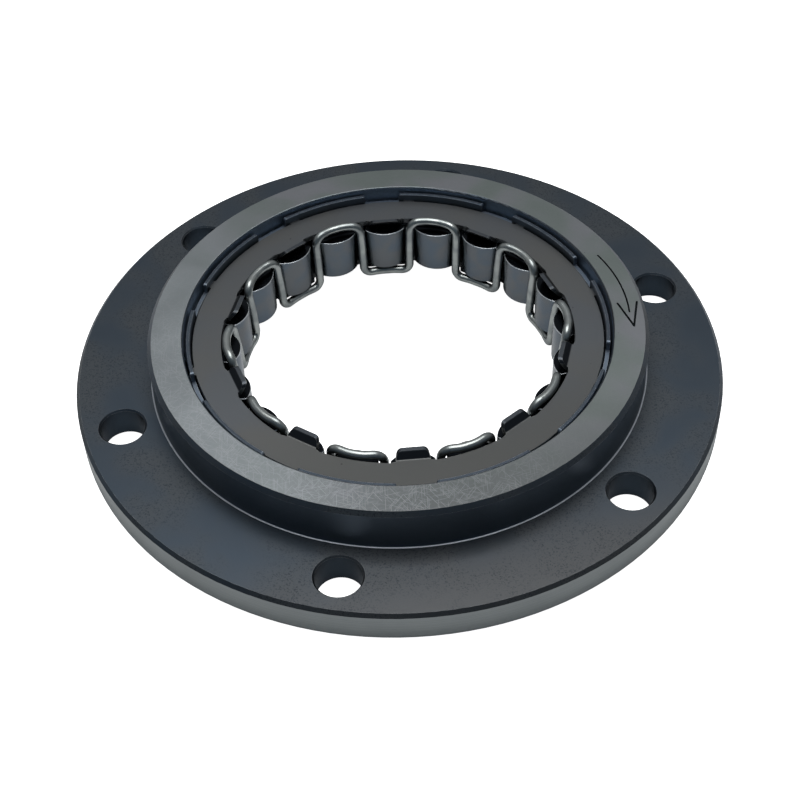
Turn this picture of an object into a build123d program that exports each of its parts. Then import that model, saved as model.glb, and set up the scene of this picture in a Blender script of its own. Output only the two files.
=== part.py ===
from build123d import *
from math import asin, cos, degrees, hypot, radians, sin, sqrt
import os

# Flanged one-way (sprag) clutch, in millimetres. The rotation axis is +Z and the origin is the
# centre of the flange's flat back face. One bolt hole lies at 30 degrees from +X.

# ---- Driving dimensions --------------------------------------------------------------------------
# hub that the clutch grips, and the radial space that the sprags fill
hub_d = 47.0
sprag_space = 8.33

# outer race: a hardened ring with a mounting flange; the webs are the metal beside a bolt hole
boss_wall = 5.22
boss_chamfer = 0.6
boss_root_r = 0.25
mouth_r = 0.25
seat_t = 0.5
seat_reach = 1.6
flange_t = 4.9
flange_chamfer = 0.5
back_chamfer = 0.25
bolt_hole_d = 6.6
bolt_boss_web = 2.15
bolt_rim_web = 2.7
bolt_count = 6
bolt_start = 30.0
bolt_edge = 0.25

# direction arrow engraved in the boss's top face, by azimuth
arrow_from = 35.3
arrow_from_in = 0.5
arrow_to = 12.8
arrow_tip = 7.8
arrow_tip_out = 0.4
arrow_barb = 16.2
arrow_barb_spread = 1.45
arrow_line = 0.28
arrow_barb_line = 0.34
arrow_depth = 0.12

# sprags
sprag_count = 20
sprag_len = 7.0
sprag_inner_r = 4.2
sprag_outer_half_w = 2.9
sprag_outer_shift = 0.5
sprag_cam_drop = 0.85
sprag_waist = 0.7
sprag_corner_r = 0.5
sprag_edge_r = 0.15
sprag_side_gap = 0.58
sprag_grip = 0.05
sprag_rock_back = 3.0
sprag_rock_wedge = 5.0
race_gap = 0.04
sprag_end_gap = 0.06

# cage drum: a windowed ring with a castellated rim
cage_turn = 15.6
drum_wall = 0.57
drum_gap = 0.4
drum_seat_gap = 0.05
rim_h = 1.13
rim_below_race = 0.75
rim_notch = 10.0
rim_notch_sink = 0.45
rim_corner_r = 0.45
rim_edge = 0.1
window_gap = 0.25
window_corner_r = 0.6

# side plates, held in the drum by lugs
plate_t = 0.9
plate_gap = 0.23
plate_hub_gap = 2.75
plate_inset = 0.35
plate_edge = 0.1
lug_w = 1.6
lug_gap = 0.03
lug_sink = 0.1

# tabs bent up from the top plate's inner edge over every other sprag
neck_step = 0.47
neck_flare_w = 6.3
tab_hub_gap = 0.8
tab_t = 0.62
tab_rise = 0.95
tab_base_w = 5.0
tab_side_taper = 0.35
tab_corner_r = 0.85
tab_bend_r = 0.25
tab_root_r = 0.4
foot_w = 7.0
foot_short = 0.8

# wire spring that weaves over one sprag and under the next; the leans are in degrees
wire_d = 1.3
wire_leg_hub_gap = 0.35
wire_low_hub_gap = 0.1
wire_low_bow = 0.05
wire_plate_gap = 0.1
wire_top_bow = 0.5
wire_sprag_gap = 0.58
wire_floor_gap = 0.1
wire_mid_span = 2.2
wire_low_lean = 0.1
wire_top_lean = 0.2
wire_mid_bend = 5.0
wire_top_bend = 1.6
wire_low_bend = 1.3
wire_leg_bend = 20.0

# how far a cutter runs past the metal, and how far pieces that are fused lap each other
cut_past = 1.0
lap = 0.6
corner_lap = 0.05
same = 1e-4

# ---- Worked-out values ---------------------------------------------------------------------------
hub_r = hub_d / 2
bore_r = hub_r + sprag_space
boss_r = bore_r + boss_wall
bolt_r = boss_r + bolt_boss_web + bolt_hole_d / 2
flange_r = bolt_r + bolt_hole_d / 2 + bolt_rim_web
seat_r = bore_r - seat_reach
land_r = (bore_r + boss_r) / 2

drum_r = bore_r - drum_gap
drum_in_r = drum_r - drum_wall
plate_r = drum_in_r - plate_gap
plate_inner_r = hub_r + plate_hub_gap
neck_r = plate_inner_r - neck_step
tab_inner_r = hub_r + tab_hub_gap

drum_z0 = seat_t + drum_seat_gap
low_plate_z = drum_z0 + plate_inset
sprag_z0 = low_plate_z + plate_t + sprag_end_gap
sprag_z1 = sprag_z0 + sprag_len
top_plate_z = sprag_z1 + sprag_end_gap
plate_top_z = top_plate_z + plate_t
rim_z = plate_top_z + rim_h
race_h = rim_z + rim_below_race

pitch = 360.0 / sprag_count
loop_pitch = 2 * pitch
loop_count = sprag_count // 2

wire_r = wire_d / 2
wire_leg_r = hub_r + wire_leg_hub_gap + wire_r
wire_low_mid_r = hub_r + wire_low_hub_gap + wire_r
wire_low_corner_r = wire_low_mid_r - wire_low_bow
wire_top_mid_r = plate_inner_r - wire_plate_gap - wire_r
wire_top_corner_r = wire_top_mid_r - wire_top_bow
wire_low_z = wire_floor_gap + wire_r
wire_top_z = sprag_z1 + wire_sprag_gap + wire_r

sprag_half_w = wire_leg_r * sin(radians(pitch / 2)) - sprag_side_gap
cam_r = hub_r + sprag_inner_r - sprag_grip
rock_y = cam_r - sprag_cam_drop
sprag_outer_r = bore_r - race_gap - hypot(rock_y, sprag_outer_shift)


def polar(r, azimuth, z=0.0):
    """A point at a radius and an azimuth in degrees about the clutch's axis."""
    return (r * cos(radians(azimuth)), r * sin(radians(azimuth)), z)


def flat_polar(r, azimuth):
    """The same point on a sketch plane."""
    return polar(r, azimuth)[:2]


def tube(outer, inner, z0, z1):
    """A plain round wall between two heights."""
    with BuildPart() as wall:
        with BuildSketch(Plane.XY.offset(z0)):
            Circle(outer)
            Circle(inner, mode=Mode.SUBTRACT)
        extrude(amount=z1 - z0)
    return wall.part


def edges_at(part, r, z):
    """The round edges of one radius at one height."""
    rings = part.edges().filter_by(GeomType.CIRCLE)
    return [e for e in rings if abs(e.radius - r) < same and abs(e.arc_center.Z - z) < same]


def block(r0, r1, width, z0, z1):
    """A straight-sided block on +X between two radii."""
    centre = Location(((r0 + r1) / 2, 0, (z0 + z1) / 2))
    return centre * Box(r1 - r0, width, z1 - z0)


def drum_face(y, z):
    """The plane just inside the drum that its cutters start from, on +X."""
    return Plane(origin=(drum_in_r - cut_past, y, z), x_dir=(0, 1, 0), z_dir=(1, 0, 0))


# ---- Outer race ----------------------------------------------------------------------------------
def arrow_cutter():
    """Curved shaft and two straight barbs, pointing clockwise as seen from the front."""
    start = flat_polar(land_r - arrow_from_in, arrow_from)
    mid = flat_polar(land_r, (arrow_from + arrow_to) / 2)
    tip = flat_polar(land_r + arrow_tip_out, arrow_tip)
    with BuildPart() as cutter:
        with BuildSketch(Plane.XY.offset(race_h - arrow_depth)):
            with BuildLine():
                shaft = ThreePointArc(start, mid, flat_polar(land_r, arrow_to))
                offset(shaft, arrow_line / 2, kind=Kind.ARC)
            make_face()
            for spread in (-arrow_barb_spread, arrow_barb_spread):
                with BuildLine():
                    barb = Line(tip, flat_polar(land_r + spread, arrow_barb))
                    offset(barb, arrow_barb_line / 2, kind=Kind.ARC)
                make_face()
        extrude(amount=arrow_depth + cut_past)
    return cutter.part


def outer_race():
    """Flange and boss in one forging, ground bore, cage seat at the back."""
    with BuildPart() as race:
        with BuildSketch(Plane.XY):
            Circle(flange_r)
        extrude(amount=flange_t)
        with BuildSketch(Plane.XY.offset(flange_t)):
            Circle(boss_r)
        extrude(amount=race_h - flange_t)
        with BuildSketch(Plane.XY):
            Circle(seat_r)
        extrude(amount=seat_t, mode=Mode.SUBTRACT)
        with BuildSketch(Plane.XY.offset(seat_t)):
            Circle(bore_r)
        extrude(amount=race_h - seat_t, mode=Mode.SUBTRACT)
        with BuildSketch(Plane.XY):
            with PolarLocations(bolt_r, bolt_count, start_angle=bolt_start):
                Circle(bolt_hole_d / 2)
        extrude(amount=flange_t, mode=Mode.SUBTRACT)
        chamfer(edges_at(race.part, flange_r, flange_t), flange_chamfer)
        chamfer(edges_at(race.part, flange_r, 0), back_chamfer)
        chamfer(edges_at(race.part, boss_r, race_h), boss_chamfer)
        chamfer(edges_at(race.part, seat_r, 0), back_chamfer)
        chamfer(edges_at(race.part, bolt_hole_d / 2, flange_t), bolt_edge)
        chamfer(edges_at(race.part, bolt_hole_d / 2, 0), bolt_edge)
        fillet(edges_at(race.part, boss_r, flange_t), boss_root_r)
        fillet(edges_at(race.part, bore_r, race_h), mouth_r)
        add(arrow_cutter(), mode=Mode.SUBTRACT)
    return race.part


# ---- Cage drum -----------------------------------------------------------------------------------
def window_half_width():
    """Half the window, which clears a rocked sprag's outer end."""
    rock = radians(max(sprag_rock_back, sprag_rock_wedge))
    return sprag_outer_half_w + (drum_r - rock_y) * sin(rock) + window_gap


def window_cutter():
    """A round-cornered opening for one sprag, on +X before it is turned into place."""
    height = sprag_len + 2 * sprag_end_gap
    with BuildPart() as cutter:
        with BuildSketch(drum_face(sprag_outer_shift, (sprag_z0 + sprag_z1) / 2)):
            RectangleRounded(2 * window_half_width(), height, window_corner_r)
        extrude(amount=drum_wall + 2 * cut_past)
    return cutter.part


def rim_notch_cutter():
    """The gap between two upstanding rim segments, sunk a little below the top plate, on +X."""
    half = drum_r * sin(radians(rim_notch / 2))
    wide = half + rim_corner_r
    shoulder = rim_h - rim_corner_r
    low = -rim_notch_sink
    with BuildPart() as cutter:
        with BuildSketch(drum_face(0, plate_top_z)):
            with BuildLine():
                RadiusArc((-wide, rim_h), (-half, shoulder), rim_corner_r)
                Polyline((-half, shoulder), (-half, low), (half, low), (half, shoulder))
                RadiusArc((half, shoulder), (wide, rim_h), rim_corner_r)
                Polyline((wide, rim_h), (wide, rim_h + cut_past), (-wide, rim_h + cut_past), (-wide, rim_h))
            make_face()
        extrude(amount=drum_wall + 2 * cut_past)
    return cutter.part


def lug_azimuths():
    """Side-plate lugs sit over the drum's bars, one bar in two."""
    bar = pitch / 2 + degrees(asin(sprag_outer_shift / drum_r))
    return [cage_turn + bar + loop_pitch * n for n in range(loop_count)]


def lug_slot(z):
    """A slot right through the drum's wall for one lug, on +X."""
    room = lug_w + 2 * lug_gap
    return block(drum_in_r - cut_past, drum_r + cut_past, room, z - lug_gap, z + plate_t + lug_gap)


def cage_drum():
    """Thin pressed drum with a window for each sprag and an upstanding castellated rim."""
    drum = tube(drum_r, drum_in_r, drum_z0, rim_z)
    rims = edges_at(drum, drum_r, rim_z) + edges_at(drum, drum_in_r, rim_z)
    drum = drum.chamfer(rim_edge, None, rims)
    window = window_cutter()
    notch = rim_notch_cutter()
    cuts = [Rot(Z=cage_turn + pitch * n) * window for n in range(sprag_count)]
    cuts += [Rot(Z=cage_turn + pitch + loop_pitch * n) * notch for n in range(loop_count)]
    for azimuth in lug_azimuths():
        cuts += [Rot(Z=azimuth) * lug_slot(z) for z in (low_plate_z, top_plate_z)]
    return drum.cut(*cuts)


# ---- Side plates ---------------------------------------------------------------------------------
def ring_with_lugs(z):
    """A side plate's flat ring with chamfered rims, and its lugs staked into the drum."""
    ring = tube(plate_r, plate_inner_r, z, z + plate_t)
    rims = edges_at(ring, plate_r, z + plate_t) + edges_at(ring, plate_inner_r, z + plate_t)
    ring = ring.chamfer(plate_edge, None, rims)
    lug = block(plate_r - lap, drum_r - lug_sink, lug_w, z, z + plate_t)
    return ring, [Rot(Z=azimuth) * lug for azimuth in lug_azimuths()]


def tab():
    """One tab, bent up and inwards from its neck, on +X, and tapered towards its rounded tip."""
    top = plate_top_z + tab_rise
    outer = tab_inner_r + tab_t
    join_r = plate_inner_r + lap
    waist_z = plate_top_z - plate_t / 2
    low_z = top_plate_z - cut_past
    base = tab_base_w / 2
    tip = base - tab_side_taper
    with BuildPart() as body:
        with BuildSketch(Plane.XZ) as section:
            Polygon((join_r, top_plate_z), (join_r, plate_top_z), (neck_r, plate_top_z), (outer, top),
                    (tab_inner_r, top), (neck_r, top_plate_z), align=None)
            bends = [v for v in section.vertices() if abs(v.X - neck_r) < same]
            fillet([v for v in bends if v.Y > top_plate_z + same], tab_bend_r)
            fillet([v for v in bends if v.Y < top_plate_z + same], tab_root_r)
        extrude(amount=tab_base_w, both=True)
        with BuildSketch(Plane.YZ.offset(tab_inner_r - cut_past)):
            left = [(-base, low_z), (-base, waist_z), (-tip, top)]
            Polygon(*left, *[(-y, z) for y, z in reversed(left)], align=None)
        extrude(amount=join_r - tab_inner_r + 2 * cut_past, mode=Mode.INTERSECT)
        fillet([e for e in body.edges().filter_by(Axis.X) if abs(e.center().Z - top) < same], tab_corner_r)
    return body.part


def neck():
    """The plate's inward swelling that carries one tab, on +X. It starts past the tab's rounded root."""
    flare = degrees(neck_flare_w / plate_inner_r) / 2
    base = tab_base_w / 2
    start_r = neck_r + tab_root_r / 2
    edge_r = plate_inner_r + corner_lap
    with BuildPart() as body:
        with BuildSketch(Plane.XY.offset(top_plate_z)):
            Polygon((start_r, -base), (start_r, base), flat_polar(edge_r, flare), (plate_inner_r + lap, 0),
                    flat_polar(edge_r, -flare), align=None)
        extrude(amount=plate_t)
    return body.part


def top_plate():
    """Flat annular plate with an upstanding tab over every other sprag."""
    ring, lugs = ring_with_lugs(top_plate_z)
    one_tab = tab() + neck()
    tabs = [Rot(Z=cage_turn + pitch + loop_pitch * n) * one_tab for n in range(loop_count)]
    return ring.fuse(*lugs, *tabs).clean()


def bottom_plate():
    """The matching plate at the back, with short flat feet in line with the tabs."""
    ring, lugs = ring_with_lugs(low_plate_z)
    foot_r = tab_inner_r + foot_short
    foot = block(foot_r, plate_inner_r + lap, foot_w, low_plate_z, low_plate_z + plate_t)
    feet = [Rot(Z=cage_turn + pitch + loop_pitch * n) * foot for n in range(loop_count)]
    return ring.fuse(*lugs, *feet).clean()


# ---- Wire spring ---------------------------------------------------------------------------------
def wire_period():
    """One wave of the wire: up beside a sprag, across over it, and down on the other side."""
    leg = -pitch / 2
    top_flat = degrees(wire_mid_span / 2 / wire_top_mid_r)
    low_flat = degrees(wire_mid_span / 2 / wire_low_mid_r)
    up = [
        polar(wire_low_mid_r, -pitch, wire_low_z),
        polar(wire_low_mid_r / cos(radians(low_flat)), -pitch + low_flat, wire_low_z),
        polar(wire_low_corner_r, leg - wire_low_lean, wire_low_z),
        polar(wire_leg_r, leg, (wire_low_z + wire_top_z) / 2),
        polar(wire_top_corner_r, leg + wire_top_lean, wire_top_z),
        polar(wire_top_mid_r / cos(radians(top_flat)), -top_flat, wire_top_z),
    ]
    down = [(x, -y, z) for x, y, z in reversed(up)]
    bends = [wire_mid_bend, wire_low_bend, wire_leg_bend, wire_top_bend, wire_mid_bend]
    path = FilletPolyline(*up, *down, radius=bends + bends[::-1])
    start = Plane(origin=path @ 0, z_dir=path % 0)
    return sweep(start * Circle(wire_r), path=path)


def wire_spring():
    """The endless wire: one wave for each pair of sprags."""
    wave = wire_period()
    waves = [Rot(Z=cage_turn + loop_pitch * n) * wave for n in range(loop_count)]
    return waves[0].fuse(*waves[1:])


# ---- Sprags --------------------------------------------------------------------------------------
def sprag():
    """One sprag on +X: an inner cam, an outer cam about the rocking axis and a waist between them."""
    low = cam_r - sqrt(sprag_inner_r ** 2 - sprag_half_w ** 2)
    high = rock_y + sqrt(sprag_outer_r ** 2 - sprag_outer_half_w ** 2)
    mid = (low + high) / 2
    a = (low, -sprag_half_w)
    b = (low, sprag_half_w)
    c = (high, sprag_outer_shift + sprag_outer_half_w)
    d = (high, sprag_outer_shift - sprag_outer_half_w)
    with BuildPart() as body:
        with BuildSketch(Plane.XY.offset(sprag_z0)) as profile:
            with BuildLine():
                ThreePointArc(a, (cam_r - sprag_inner_r, 0), b)
                ThreePointArc(b, (mid, (b[1] + c[1]) / 2 - sprag_waist), c)
                ThreePointArc(c, (rock_y + sprag_outer_r, sprag_outer_shift), d)
                ThreePointArc(d, (mid, (a[1] + d[1]) / 2 + sprag_waist), a)
            make_face()
            fillet(profile.vertices(), sprag_corner_r)
        extrude(amount=sprag_len)
    rims = [e for e in body.part.edges() if abs(e.bounding_box().size.Z) < same]
    return body.part.fillet(sprag_edge_r, rims)


# ---- Write one STEP file for each piece ----------------------------------------------------------
os.makedirs("parts", exist_ok=True)
nodes = {
    "outer_race": outer_race(),
    "cage_drum": cage_drum(),
    "top_side_plate": top_plate(),
    "bottom_side_plate": bottom_plate(),
    "wire_spring": wire_spring(),
}
blank_sprag = sprag()
for n in range(sprag_count):
    nodes[f"sprag_{n + 1:02d}"] = Rot(Z=cage_turn + pitch * n) * blank_sprag
for name, solid in nodes.items():
    export_step(solid, f"parts/{name}.step")
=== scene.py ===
import math

import bpy
from mathutils import Matrix, Vector


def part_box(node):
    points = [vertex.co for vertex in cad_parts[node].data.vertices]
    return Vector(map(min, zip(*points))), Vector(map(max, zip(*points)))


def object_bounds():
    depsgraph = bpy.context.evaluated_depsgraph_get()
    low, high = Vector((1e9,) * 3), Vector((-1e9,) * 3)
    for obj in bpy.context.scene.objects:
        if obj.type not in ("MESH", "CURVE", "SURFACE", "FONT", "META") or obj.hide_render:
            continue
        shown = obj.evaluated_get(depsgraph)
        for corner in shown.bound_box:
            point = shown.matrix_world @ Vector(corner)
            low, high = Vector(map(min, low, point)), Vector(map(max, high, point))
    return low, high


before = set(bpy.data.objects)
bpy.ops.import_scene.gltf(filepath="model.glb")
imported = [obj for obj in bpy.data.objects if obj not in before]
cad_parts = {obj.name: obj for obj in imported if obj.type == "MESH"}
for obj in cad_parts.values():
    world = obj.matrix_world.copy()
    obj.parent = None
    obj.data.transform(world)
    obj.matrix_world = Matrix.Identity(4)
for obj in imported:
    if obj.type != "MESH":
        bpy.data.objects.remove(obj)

cad_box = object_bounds()

# ---- Bench and studio ----------------------------------------------------------------------------
# The clutch lies on its flange on a white bench, under one large soft overhead panel. A pale wall
# stands behind it and the room in front is dim, which gives the flat steel its soft grey and the
# upright walls their dark reflections.
MM = 0.001
VIEW_AZIMUTH = -77.8
VIEW_REACH = 165.6 * MM
VIEW_HEIGHT = 167.1 * MM
VIEW_LENS = 68.9
VIEW_ROLL = 2.0
VIEW_SENSOR = 36.0
AIM = Vector((1.007, -4.775, 0.0)) * MM


def around(radius, azimuth, height=0.0):
    """A point at a radius and an azimuth in degrees about the clutch's axis."""
    angle = math.radians(azimuth)
    return Vector((radius * math.cos(angle), radius * math.sin(angle), height))


def face(thing, place, target, roll=0.0):
    """Puts a camera or a lamp at a place and turns it to look at a target."""
    look = (target - place).to_track_quat("-Z", "Y").to_matrix().to_4x4()
    rolled = Matrix.Rotation(math.radians(roll), 4, "Z")
    thing.matrix_world = Matrix.Translation(place) @ look @ rolled


def place_node(tree, kind, inputs=(), **settings):
    """Adds a shader node with its settings, and gives each input a value or another's socket."""
    made = tree.nodes.new(kind)
    for name, value in settings.items():
        setattr(made, name, value)
    for key, value in dict(inputs).items():
        if isinstance(value, bpy.types.NodeSocket):
            tree.links.new(value, made.inputs[key])
        else:
            made.inputs[key].default_value = value
    return made


def ramp(tree, value, low, high, bottom=0.0, top=1.0):
    """A smooth step from bottom to top as the value goes from low to high."""
    steps = {"Value": value, "From Min": low, "From Max": high, "To Min": bottom, "To Max": top}
    return place_node(tree, "ShaderNodeMapRange", steps,
                      interpolation_type="SMOOTHSTEP").outputs["Result"]


def blend_colours(tree, share, first, second):
    """The first colour where the share is 0 and the second where it is 1."""
    return place_node(tree, "ShaderNodeMix", {0: share, 6: first, 7: second},
                      data_type="RGBA").outputs[2]


def towards(tree, place, azimuth, reach=1.0):
    """How far a place lies towards an azimuth, as a share of the reach."""
    return place_node(tree, "ShaderNodeVectorMath", {0: place, 1: around(1.0 / reach, azimuth)},
                      operation="DOT_PRODUCT").outputs["Value"]


scene = bpy.context.scene
scene.view_settings.view_transform = "Standard"

camera = bpy.data.objects.new("camera", bpy.data.cameras.new("camera"))
camera.data.lens = VIEW_LENS
camera.data.sensor_width = VIEW_SENSOR
scene.collection.objects.link(camera)
face(camera, around(VIEW_REACH, VIEW_AZIMUTH, VIEW_HEIGHT), AIM, -VIEW_ROLL)
scene.camera = camera

PANEL_SIZE = 0.50
PANEL_HEIGHT = 0.62
PANEL_BACK = 0.06
PANEL_WATTS = 3.2
panel_light = bpy.data.lights.new("overhead_panel", "AREA")
panel_light.size = PANEL_SIZE
panel_light.energy = PANEL_WATTS
panel = bpy.data.objects.new("overhead_panel", panel_light)
scene.collection.objects.link(panel)
face(panel, around(PANEL_BACK, VIEW_AZIMUTH + 180.0, PANEL_HEIGHT), Vector((0.0, 0.0, 0.0)))

# the camera sees a white backdrop, and the steel reflects a room that is dim in front
BACKDROP = (1.0, 1.0, 1.0, 1.0)
ROOM_FRONT = (0.105, 0.135, 0.165, 1.0)
ROOM_BACK = (0.40, 0.41, 0.42, 1.0)
ROOM_BLEND = (-0.7, 0.5)
world = bpy.data.worlds.new("studio")
world.use_nodes = True
scene.world = world
room = world.node_tree
room.nodes.clear()
direction = place_node(room, "ShaderNodeTexCoord").outputs["Generated"]
behind = towards(room, direction, VIEW_AZIMUTH + 180.0)
room_colour = blend_colours(room, ramp(room, behind, *ROOM_BLEND), ROOM_FRONT, ROOM_BACK)
reflected = place_node(room, "ShaderNodeBackground", {"Color": room_colour})
backdrop = place_node(room, "ShaderNodeBackground", {"Color": BACKDROP})
seen = place_node(room, "ShaderNodeLightPath").outputs["Is Camera Ray"]
both = place_node(room, "ShaderNodeMixShader",
                  {0: seen, 1: reflected.outputs[0], 2: backdrop.outputs[0]})
place_node(room, "ShaderNodeOutputWorld", {"Surface": both.outputs[0]})

# the bench glows for the camera only, so it stays a plain white under the clutch's soft shadow
BENCH_REACH = 1.5
BENCH_DROP = 0.01 * MM
BENCH_GLOW = 1.0
BENCH_PAINT = (0.9, 0.9, 0.9, 1.0)
BENCH_ROUGH = 0.9
bench_mesh = bpy.data.meshes.new("bench")
corners = [(-BENCH_REACH, -BENCH_REACH, 0.0), (BENCH_REACH, -BENCH_REACH, 0.0),
           (BENCH_REACH, BENCH_REACH, 0.0), (-BENCH_REACH, BENCH_REACH, 0.0)]
bench_mesh.from_pydata(corners, [], [(0, 1, 2, 3)])
bench = bpy.data.objects.new("bench", bench_mesh)
bench.location.z = cad_box[0][2] - BENCH_DROP
scene.collection.objects.link(bench)
bench_paint = bpy.data.materials.new("bench_paint")
bench_paint.use_nodes = True
bench_tree = bench_paint.node_tree
bench_shader = bench_tree.nodes["Principled BSDF"]
bench_shader.inputs["Base Color"].default_value = BENCH_PAINT
bench_shader.inputs["Roughness"].default_value = BENCH_ROUGH
bench_shader.inputs["Specular IOR Level"].default_value = 0.0
bench_shader.inputs["Emission Color"].default_value = BACKDROP
seen = place_node(bench_tree, "ShaderNodeLightPath").outputs["Is Camera Ray"]
glow = place_node(bench_tree, "ShaderNodeMath", {0: seen, 1: BENCH_GLOW}, operation="MULTIPLY")
bench_tree.links.new(glow.outputs[0], bench_shader.inputs["Emission Strength"])
bench_mesh.materials.append(bench_paint)

# ---- Outer race ----------------------------------------------------------------------------------
# A forged ring of hardened bearing steel, bolted on through its flange. The turned flange and boss
# keep a blue-grey satin oxide with a fine mottled grain, and the top land is ground bright after
# hardening, which leaves a hatching of fine random scratches. The edges have lost a little oxide.
LAND_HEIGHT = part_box("outer_race")[1].z / MM
RIM_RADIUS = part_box("outer_race")[1].x / MM
BOSS_RADIUS = 37.05
ROOT_HEIGHT = 4.9
LAND_INNER = 32.5
LAND_OUTER = 36.4

# azimuths on the part: towards the first the flange is painted lighter and the land and plates
# darker, as painted light and shade; towards the second the land's scratches are drawn stronger;
# towards the third the land is painted lighter, as a painted highlight
PAINTED_SHADING_SIDE = -62.8
SCRATCHED_SIDE = -112.8
PAINTED_HIGHLIGHT_SIDE = -152.8

OXIDE = (0.052, 0.066, 0.083, 1.0)
OXIDE_WARM = (0.062, 0.070, 0.078, 1.0)
OXIDE_PAINTED_LIGHT = (0.074, 0.077, 0.080, 1.0)
OXIDE_DARK = (0.016, 0.022, 0.030, 1.0)
WALL_PAINTED_LIGHT = (0.100, 0.125, 0.155, 1.0)
BORE_PAINTED_LIGHT = (0.30, 0.38, 0.48, 1.0)
HOLE_SHADE = (0.030, 0.042, 0.056, 1.0)
ROOT_HIGHLIGHT = (0.30, 0.32, 0.35, 1.0)
RIM = (0.215, 0.232, 0.232, 1.0)
LAND = (0.172, 0.198, 0.190, 1.0)
LAND_LILAC = (0.184, 0.192, 0.205, 1.0)
LAND_PAINTED_SHADE = (0.113, 0.122, 0.124, 1.0)
LAND_PAINTED_HIGHLIGHT = (0.240, 0.262, 0.272, 1.0)
LAND_SCRATCH = (0.46, 0.47, 0.50, 1.0)
ENGRAVING_SHADE = (0.006, 0.008, 0.009, 1.0)
BARE_EDGE = (0.34, 0.35, 0.36, 1.0)
OXIDE_ROUGH = 0.42
LAND_ROUGH = 0.40

# sizes of the grain's specks and patches, and the height of the relief, in millimetres
RACE_GRAIN = (0.24, 11.0)
RACE_RELIEF = 0.008

# the patches' values between which a steel goes from its first tone to its second
TONES = (0.35, 0.65)

# the heights of the normal between which a face starts to count as a flat top or as a wall
FLAT_TOP = (0.90, 0.98)
WALL_FACE = (0.5, 0.2)


def new_group(name, takes, gives):
    """An empty shader node group with float or vector inputs and its outputs, to be filled."""
    tree = bpy.data.node_groups.new(name, "ShaderNodeTree")
    for socket, start in takes.items():
        kind = "NodeSocketVector" if start is None else "NodeSocketFloat"
        made = tree.interface.new_socket(socket, in_out="INPUT", socket_type=kind)
        if start is not None:
            made.default_value = start
    for socket in gives:
        kind = "NodeSocketVector" if socket == "Place" else "NodeSocketFloat"
        tree.interface.new_socket(socket, in_out="OUTPUT", socket_type=kind)
    given = tree.nodes.new("NodeGroupInput").outputs
    found = tree.nodes.new("NodeGroupOutput").inputs
    return tree, given, found


def maths(tree, operation, *values):
    """The result of one arithmetic step."""
    return place_node(tree, "ShaderNodeMath", dict(enumerate(values)),
                      operation=operation).outputs[0]


def product(tree, first, *others):
    """Values or masks multiplied together."""
    for other in others:
        first = maths(tree, "MULTIPLY", first, other)
    return first


def noise(tree, place, scale, detail=2.0, roughness=0.5, distortion=0.0):
    """Cloud noise about 0.5, with its scale in spots per millimetre."""
    values = {"Vector": place, "Scale": scale, "Detail": detail, "Roughness": roughness,
              "Distortion": distortion}
    return place_node(tree, "ShaderNodeTexNoise", values).outputs[0]


# where a point is on a turned part: its place in millimetres, its radius, its height, and these two
# added up, which grows across a turned wall as well as across a faced top
position, _, found = new_group("turned_position", {}, ("Place", "Radius", "Height", "Lathe"))
spot = place_node(position, "ShaderNodeVectorMath",
                  {0: place_node(position, "ShaderNodeTexCoord").outputs["Object"],
                   "Scale": 1.0 / MM}, operation="SCALE").outputs[0]
split = place_node(position, "ShaderNodeSeparateXYZ", {0: spot}).outputs
flat = place_node(position, "ShaderNodeCombineXYZ", {0: split[0], 1: split[1]}).outputs[0]
radius = place_node(position, "ShaderNodeVectorMath", {0: flat},
                    operation="LENGTH").outputs["Value"]
position.links.new(spot, found["Place"])
position.links.new(radius, found["Radius"])
position.links.new(split[2], found["Height"])
position.links.new(maths(position, "ADD", radius, split[2]), found["Lathe"])

# mottled grain: a fine speckle that gathers in soft patches
grain, given, found = new_group("mottled_grain",
                                {"Place": None, "Size": 0.35, "Patch Size": 9.0},
                                ("Speckle", "Patches", "Height"))
fine = noise(grain, given["Place"], maths(grain, "DIVIDE", 1.0, given["Size"]), 3.0, 0.65)
patch = noise(grain, given["Place"], maths(grain, "DIVIDE", 1.0, given["Patch Size"]),
              2.0, 0.5, 0.4)
speckle = product(grain, ramp(grain, fine, 0.52, 0.64), ramp(grain, patch, 0.40, 0.58))
grain.links.new(speckle, found["Speckle"])
grain.links.new(patch, found["Patches"])
grain.links.new(fine, found["Height"])

# fine straight scratches in several directions: rows of short strokes, each row shifted by chance;
# the starts keep rows and strokes clear of zero and give each direction rows of its own
HATCH_TURNS = (8.0, 41.0, 77.0, 112.0, 151.0)
ROW_START = 400.0
ROW_STEP = 37.3
STROKE_START = 90.0
STROKE_SHIFT = 7.0


def from_middle(tree, value):
    """How far a value lies from the middle of its row or stroke: 0 in the middle, 0.5 at an end."""
    return maths(tree, "ABSOLUTE", maths(tree, "SUBTRACT", maths(tree, "FRACT", value), 0.5))


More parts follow.
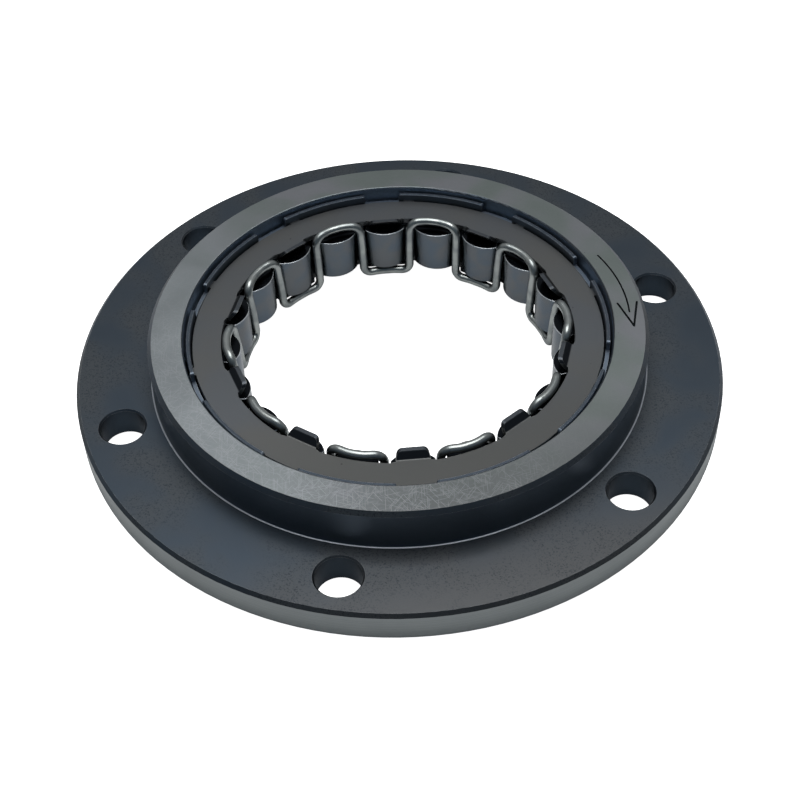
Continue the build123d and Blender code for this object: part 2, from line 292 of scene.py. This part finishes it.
hatch, given, found = new_group("hatching",
                                {"Place": None, "Spacing": 0.25, "Length": 3.0, "Share": 0.3},
                                ("Lines",))
lines = 0.0
for number, turn in enumerate(HATCH_TURNS):
    turned = place_node(hatch, "ShaderNodeVectorRotate",
                        {"Vector": given["Place"], "Angle": math.radians(turn)},
                        rotation_type="Z_AXIS").outputs[0]
    along, across, _ = place_node(hatch, "ShaderNodeSeparateXYZ", {0: turned}).outputs
    rows = maths(hatch, "ADD", maths(hatch, "DIVIDE", across, given["Spacing"]),
                 ROW_START + ROW_STEP * number)
    row = maths(hatch, "FLOOR", rows)
    shift = place_node(hatch, "ShaderNodeTexWhiteNoise", {"W": row},
                       noise_dimensions="1D").outputs["Value"]
    strokes = maths(hatch, "ADD", maths(hatch, "DIVIDE", along, given["Length"]),
                    maths(hatch, "MULTIPLY_ADD", shift, STROKE_SHIFT, STROKE_START))
    pick = place_node(hatch, "ShaderNodeCombineXYZ",
                      {0: row, 1: maths(hatch, "FLOOR", strokes)}).outputs[0]
    chance = place_node(hatch, "ShaderNodeTexWhiteNoise", {"Vector": pick},
                        noise_dimensions="2D").outputs["Value"]
    kept = ramp(hatch, chance, given["Share"], 0.0)
    thin = ramp(hatch, from_middle(hatch, rows), 0.28, 0.08)
    tapered = ramp(hatch, from_middle(hatch, strokes), 0.48, 0.30)
    lines = maths(hatch, "MAXIMUM", lines, product(hatch, thin, tapered, kept))
hatch.links.new(lines, found["Lines"])

# rubbed edges: where the rounded normal leaves the true one, broken up by a fine noise
rubbed, given, found = new_group("rubbed_edges", {"Place": None, "Reach": 0.12, "Breaks": 1.5},
                                 ("Bare",))
rounded = place_node(rubbed, "ShaderNodeBevel",
                     {"Radius": product(rubbed, given["Reach"], MM)}, samples=6).outputs[0]
true_normal = place_node(rubbed, "ShaderNodeNewGeometry").outputs["Normal"]
agree = place_node(rubbed, "ShaderNodeVectorMath", {0: rounded, 1: true_normal},
                   operation="DOT_PRODUCT").outputs["Value"]
broken = ramp(rubbed, noise(rubbed, given["Place"], given["Breaks"], 3.0, 0.6), 0.36, 0.56)
rubbed.links.new(product(rubbed, ramp(rubbed, agree, 0.995, 0.90), broken), found["Bare"])

# small dents and pits, each a round spot in a scattered cell
pits, given, found = new_group("pits", {"Place": None, "Spread": 3.0, "Size": 0.06, "Share": 0.3},
                               ("Pit",))
cell = place_node(pits, "ShaderNodeTexVoronoi",
                  {"Vector": given["Place"], "Scale": maths(pits, "DIVIDE", 1.0, given["Spread"])},
                  feature="F1")
draw = place_node(pits, "ShaderNodeSeparateColor", {0: cell.outputs["Color"]}).outputs[0]
chosen = ramp(pits, draw, maths(pits, "SUBTRACT", given["Share"], 0.02), given["Share"], 1.0, 0.0)
dot = ramp(pits, cell.outputs["Distance"], given["Size"], product(pits, given["Size"], 0.5))
pits.links.new(product(pits, dot, chosen), found["Pit"])


def placed(tree, group, inputs=()):
    """The outputs of one placed copy of a node group, with its inputs set or fed."""
    return place_node(tree, "ShaderNodeGroup", inputs, node_tree=group).outputs


def new_steel(name, roughness, grain_sizes):
    """A bare steel: its material, node tree and shader, where a point is, and its mottled grain."""
    steel = bpy.data.materials.new(name)
    steel.use_nodes = True
    tree = steel.node_tree
    shader = tree.nodes["Principled BSDF"]
    shader.inputs["Metallic"].default_value = 1.0
    shader.inputs["Roughness"].default_value = roughness
    at = placed(tree, position)
    speck_size, patch_size = grain_sizes
    mottle = placed(tree, grain,
                    {"Place": at["Place"], "Size": speck_size, "Patch Size": patch_size})
    return steel, tree, shader, at, mottle


def facing_up(tree):
    """The height of the surface's normal: 1 on a flat top, 0 on a wall and -1 underneath."""
    normal = place_node(tree, "ShaderNodeNewGeometry").outputs["Normal"]
    return place_node(tree, "ShaderNodeSeparateXYZ", {0: normal}).outputs[2]


def wear_edges(tree, colour, bare_colour, place, share, reach, breaks):
    """The colour with a share of the bare steel's along rubbed edges."""
    bare = placed(tree, rubbed, {"Place": place, "Reach": reach, "Breaks": breaks})
    return blend_colours(tree, product(tree, bare["Bare"], share), colour, bare_colour)


def add_pits(tree, colour, pit_colour, place, spread, depth=0.7):
    """The colour with small dark pits, scattered in cells as wide as the spread."""
    made = placed(tree, pits, {"Place": place, "Spread": spread, "Size": 0.05, "Share": 0.3})
    return blend_colours(tree, product(tree, made["Pit"], depth), colour, pit_colour)


def bump(tree, shader, height, depth):
    """Raises the surface by a height map that is depth millimetres high."""
    made = place_node(tree, "ShaderNodeBump",
                      {"Height": height, "Distance": depth * MM, "Strength": 1.0})
    tree.links.new(made.outputs[0], shader.inputs["Normal"])


def finish_with(steel, names):
    """Gives the named CAD nodes their steel."""
    for name in names:
        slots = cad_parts[name].data.materials
        slots.clear()
        slots.append(steel)


race_steel, tree, shader, at, mottle = new_steel("race_steel", OXIDE_ROUGH, RACE_GRAIN)
up = facing_up(tree)
upright = ramp(tree, maths(tree, "ABSOLUTE", up), *WALL_FACE)
on_land = product(tree, ramp(tree, up, *FLAT_TOP),
                  ramp(tree, at["Height"], LAND_HEIGHT - 0.05, LAND_HEIGHT - 0.02))
towards_shading_side = towards(tree, at["Place"], PAINTED_SHADING_SIDE, LAND_OUTER)

# the oxide: warmer in patches and speckled dark; painted lighter towards one side and on the walls
# and bore as painted light, darker in the bolt holes as painted shade, and a painted highlight
# along the boss's root
body = blend_colours(tree, ramp(tree, mottle["Patches"], *TONES), OXIDE, OXIDE_WARM)
# painted lighter towards one side, as painted light
body = blend_colours(tree, ramp(tree, towards_shading_side, 0.85, 1.30), body, OXIDE_PAINTED_LIGHT)
body = blend_colours(tree, product(tree, mottle["Speckle"], 0.55), body, OXIDE_DARK)
# upright walls painted lighter than the oxide, as painted light
body = blend_colours(tree, upright, body, WALL_PAINTED_LIGHT)
# the bore's wall painted a light navy, as painted light
in_bore = ramp(tree, at["Radius"], LAND_INNER + 0.15, LAND_INNER + 0.05)
body = blend_colours(tree, product(tree, upright, in_bore), body, BORE_PAINTED_LIGHT)
# a painted highlight line along the boss's root
root_highlight = product(tree, ramp(tree, at["Radius"], BOSS_RADIUS + 0.02, BOSS_RADIUS + 0.08),
                    ramp(tree, at["Radius"], BOSS_RADIUS + 0.30, BOSS_RADIUS + 0.24),
                    ramp(tree, at["Height"], ROOT_HEIGHT + 0.20, ROOT_HEIGHT + 0.12))
body = blend_colours(tree, root_highlight, body, ROOT_HIGHLIGHT)
# the bolt holes' walls painted dark, as painted shade
past_boss = ramp(tree, at["Radius"], BOSS_RADIUS + 0.5, BOSS_RADIUS + 1.0)
body = blend_colours(tree, product(tree, upright, past_boss), body, HOLE_SHADE)

# the ground land: painted darker on one side as shade and lighter on another as a highlight,
# scratched and pitted
ground = blend_colours(tree, ramp(tree, mottle["Patches"], 0.40, 0.62), LAND, LAND_LILAC)
# painted darker towards one side, as painted shade
ground = blend_colours(tree, ramp(tree, towards_shading_side, 0.50, 1.0), ground, LAND_PAINTED_SHADE)
# painted lighter towards another side, as a painted highlight
towards_highlight_side = towards(tree, at["Place"], PAINTED_HIGHLIGHT_SIDE, LAND_OUTER)
ground = blend_colours(tree, ramp(tree, towards_highlight_side, 0.2, 0.95), ground, LAND_PAINTED_HIGHLIGHT)
scratches = placed(tree, hatch,
                   {"Place": at["Place"], "Spacing": 0.18, "Length": 2.6, "Share": 0.36})["Lines"]
worn = towards(tree, at["Place"], SCRATCHED_SIDE, LAND_OUTER)
ground = blend_colours(tree, product(tree, scratches, ramp(tree, worn, 0.1, 0.9, 0.03, 0.34)),
                       ground, LAND_SCRATCH)
ground = add_pits(tree, ground, OXIDE_DARK, at["Place"], spread=1.6)

# the flange's rim: turned bare, with fine lathe lines
lathe = noise(tree, place_node(tree, "ShaderNodeCombineXYZ", {0: at["Lathe"]}).outputs[0],
              scale=6.0, detail=3.0, roughness=0.7)
rim = blend_colours(tree, product(tree, ramp(tree, lathe, 0.45, 0.75), 0.6), RIM, OXIDE)
on_rim = product(tree, upright, ramp(tree, at["Radius"], RIM_RADIUS - 0.15, RIM_RADIUS - 0.05))

# the engraved arrow: what lies a little below the land, within its width, painted near black as
# shade in the groove
engraved = product(tree,
                   ramp(tree, at["Height"], LAND_HEIGHT - 0.015, LAND_HEIGHT - 0.04),
                   ramp(tree, at["Height"], LAND_HEIGHT - 0.4, LAND_HEIGHT - 0.2),
                   ramp(tree, at["Radius"], LAND_INNER - 0.1, LAND_INNER),
                   ramp(tree, at["Radius"], LAND_OUTER + 0.1, LAND_OUTER))

colour = blend_colours(tree, on_land, body, ground)
colour = blend_colours(tree, on_rim, colour, rim)
colour = wear_edges(tree, colour, BARE_EDGE, at["Place"], share=0.6, reach=0.12, breaks=0.8)
# the engraved groove painted near black, as painted shade
colour = blend_colours(tree, engraved, colour, ENGRAVING_SHADE)
tree.links.new(colour, shader.inputs["Base Color"])
off_land = maths(tree, "SUBTRACT", 1.0, on_land)
grainy = maths(tree, "ADD", mottle["Height"], product(tree, lathe, 0.5))
relief = maths(tree, "SUBTRACT", product(tree, off_land, grainy),
               product(tree, on_land, scratches, 0.25))
bump(tree, shader, relief, RACE_RELIEF)
rough = ramp(tree, mottle["Patches"], 0.3, 0.7, OXIDE_ROUGH - 0.04, OXIDE_ROUGH + 0.05)
rough = maths(tree, "SUBTRACT", rough, product(tree, on_land, OXIDE_ROUGH - LAND_ROUGH))
tree.links.new(rough, shader.inputs["Roughness"])
finish_with(race_steel, ["outer_race"])

# ---- Cage drum -----------------------------------------------------------------------------------
# A thin ring pressed from steel strip and darkened by heat treatment, with a window for each sprag.
# Its castellated rim stands up around the top side plate, its top painted darker as shade, its
# edges rubbed brighter with a painted highlight.
DRUM = (0.150, 0.185, 0.230, 1.0)
DRUM_WARM = (0.155, 0.180, 0.210, 1.0)
DRUM_LIP_SHADE = (0.060, 0.074, 0.092, 1.0)
DRUM_EDGE_WEAR_AND_HIGHLIGHT = (0.50, 0.52, 0.55, 1.0)
DRUM_ROUGH = 0.42
DRUM_GRAIN = (0.25, 5.0)
DRUM_RELIEF = 0.004
DRUM_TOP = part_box("cage_drum")[1].z / MM

drum_steel, tree, shader, at, mottle = new_steel("drum_steel", DRUM_ROUGH, DRUM_GRAIN)
colour = blend_colours(tree, ramp(tree, mottle["Patches"], *TONES), DRUM, DRUM_WARM)
# the top of the rim painted darker, as painted shade
on_lip = ramp(tree, at["Height"], DRUM_TOP - 0.05, DRUM_TOP - 0.01)
colour = blend_colours(tree, on_lip, colour, DRUM_LIP_SHADE)
# rubbed edges, drawn bright also as a painted highlight line
colour = wear_edges(tree, colour, DRUM_EDGE_WEAR_AND_HIGHLIGHT, at["Place"], share=0.7, reach=0.10, breaks=1.2)
tree.links.new(colour, shader.inputs["Base Color"])
bump(tree, shader, mottle["Height"], DRUM_RELIEF)
finish_with(drum_steel, ["cage_drum"])

# ---- Side plates ---------------------------------------------------------------------------------
# Flat rings blanked and pressed from steel strip, with lugs staked into the drum. The surface is a
# smooth satin with faint rolling lines, a few nicks and a bright blanked edge.
PLATE = (0.112, 0.114, 0.112, 1.0)
PLATE_COOL = (0.104, 0.112, 0.121, 1.0)
PLATE_PAINTED_SHADE = (0.082, 0.084, 0.082, 1.0)
PLATE_EDGE = (0.30, 0.31, 0.30, 1.0)
PLATE_NICK = (0.03, 0.03, 0.033, 1.0)
TAB_FACE_SHADE = (0.020, 0.024, 0.030, 1.0)
TAB_TIP_SHADE = (0.060, 0.067, 0.076, 1.0)
PLATE_ROUGH = 0.42
PLATE_GRAIN = (0.5, 14.0)
PLATE_TONES = (0.3, 0.7)
PLATE_RELIEF = 0.002
TAB_RISE = 0.95
PLATE_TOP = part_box("top_side_plate")[1].z / MM - TAB_RISE

# the heights of the normal where a leaning face gives way to a flat top and to a wall
LEAN_TO_TOP = (0.90, 0.80)
LEAN_TO_WALL = (0.30, 0.50)


def stretched(tree, place, scales):
    """A place drawn out or pressed together along the axes, for marks with a direction."""
    return place_node(tree, "ShaderNodeVectorMath", {0: place, 1: scales},
                      operation="MULTIPLY").outputs[0]


plate_steel, tree, shader, at, mottle = new_steel("plate_steel", PLATE_ROUGH, PLATE_GRAIN)
colour = blend_colours(tree, ramp(tree, mottle["Patches"], *PLATE_TONES), PLATE, PLATE_COOL)
# painted darker towards one side, as painted shade
towards_shading_side = towards(tree, at["Place"], PAINTED_SHADING_SIDE, LAND_OUTER)
colour = blend_colours(tree, ramp(tree, towards_shading_side, 0.20, 0.85), colour, PLATE_PAINTED_SHADE)
colour = add_pits(tree, colour, PLATE_NICK, at["Place"], spread=3.5)

# the bent tabs: painted shade, near black on their leaning faces and a dark slate on their tips
up = facing_up(tree)
on_face = product(tree, ramp(tree, up, *LEAN_TO_TOP), ramp(tree, up, *LEAN_TO_WALL),
                  ramp(tree, at["Height"], PLATE_TOP + 0.02, PLATE_TOP + 0.12), 0.9)
colour = blend_colours(tree, on_face, colour, TAB_FACE_SHADE)
on_tip = ramp(tree, at["Height"], PLATE_TOP + 0.80, PLATE_TOP + 0.90)
colour = blend_colours(tree, on_tip, colour, TAB_TIP_SHADE)
colour = wear_edges(tree, colour, PLATE_EDGE, at["Place"], share=0.6, reach=0.09, breaks=0.9)
tree.links.new(colour, shader.inputs["Base Color"])
rolling = noise(tree, stretched(tree, at["Place"], (0.05, 1.0, 0.2)),
                scale=3.0, detail=3.0, roughness=0.6)
relief = maths(tree, "ADD", rolling, product(tree, mottle["Height"], 0.5))
bump(tree, shader, relief, PLATE_RELIEF)
finish_with(plate_steel, ["top_side_plate", "bottom_side_plate"])

# ---- Sprags --------------------------------------------------------------------------------------
# Hardened bearing-steel wedges, tumbled smooth, that stand in the drum's windows. Faint marks run
# along their height, their end faces are painted dark as shade, and a band at the top edge is
# painted bright as a highlight.
SPRAG = (0.092, 0.113, 0.136, 1.0)
SPRAG_WARM = (0.112, 0.120, 0.127, 1.0)
SPRAG_END_SHADE = (0.010, 0.012, 0.015, 1.0)
SPRAG_EDGE_HIGHLIGHT = (0.92, 0.95, 0.97, 1.0)
SPRAG_ROUGH = 0.24
SPRAG_GRAIN = (0.3, 4.0)
SPRAG_RELIEF = 0.002
SPRAG_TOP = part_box("sprag_01")[1].z / MM

sprag_steel, tree, shader, at, mottle = new_steel("sprag_steel", SPRAG_ROUGH, SPRAG_GRAIN)
colour = blend_colours(tree, ramp(tree, mottle["Patches"], *TONES), SPRAG, SPRAG_WARM)
# the top end faces painted near black, as painted shade
on_end = ramp(tree, at["Height"], SPRAG_TOP - 0.03, SPRAG_TOP - 0.01)
colour = blend_colours(tree, on_end, colour, SPRAG_END_SHADE)
# a band just below the top painted near white, as a painted highlight
on_edge_highlight = product(tree, ramp(tree, at["Height"], SPRAG_TOP - 0.13, SPRAG_TOP - 0.09),
                  ramp(tree, at["Height"], SPRAG_TOP - 0.01, SPRAG_TOP - 0.03))
colour = blend_colours(tree, on_edge_highlight, colour, SPRAG_EDGE_HIGHLIGHT)
tree.links.new(colour, shader.inputs["Base Color"])
marks = noise(tree, stretched(tree, at["Place"], (1.0, 1.0, 0.08)),
              scale=4.0, detail=3.0, roughness=0.6)
bump(tree, shader, marks, SPRAG_RELIEF)
finish_with(sprag_steel, sorted(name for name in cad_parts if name.startswith("sprag_")))

# ---- Wire spring ---------------------------------------------------------------------------------
# One endless round spring wire, bent in a wave over one sprag and under the next. It is drawn and
# polished, so it is the brightest piece and catches the overhead panel along its crowns.
WIRE = (0.33, 0.35, 0.34, 1.0)
WIRE_DULL = (0.23, 0.25, 0.25, 1.0)
WIRE_ROUGH = 0.34
WIRE_ROUGH_RANGE = (0.29, 0.38)
WIRE_GRAIN = (0.2, 2.5)
WIRE_RELIEF = 0.0015

spring_wire, tree, shader, at, mottle = new_steel("spring_wire", WIRE_ROUGH, WIRE_GRAIN)
colour = blend_colours(tree, ramp(tree, mottle["Patches"], *TONES), WIRE, WIRE_DULL)
tree.links.new(colour, shader.inputs["Base Color"])
rough = ramp(tree, mottle["Patches"], 0.3, 0.7, *WIRE_ROUGH_RANGE)
tree.links.new(rough, shader.inputs["Roughness"])
bump(tree, shader, mottle["Height"], WIRE_RELIEF)
finish_with(spring_wire, ["wire_spring"])
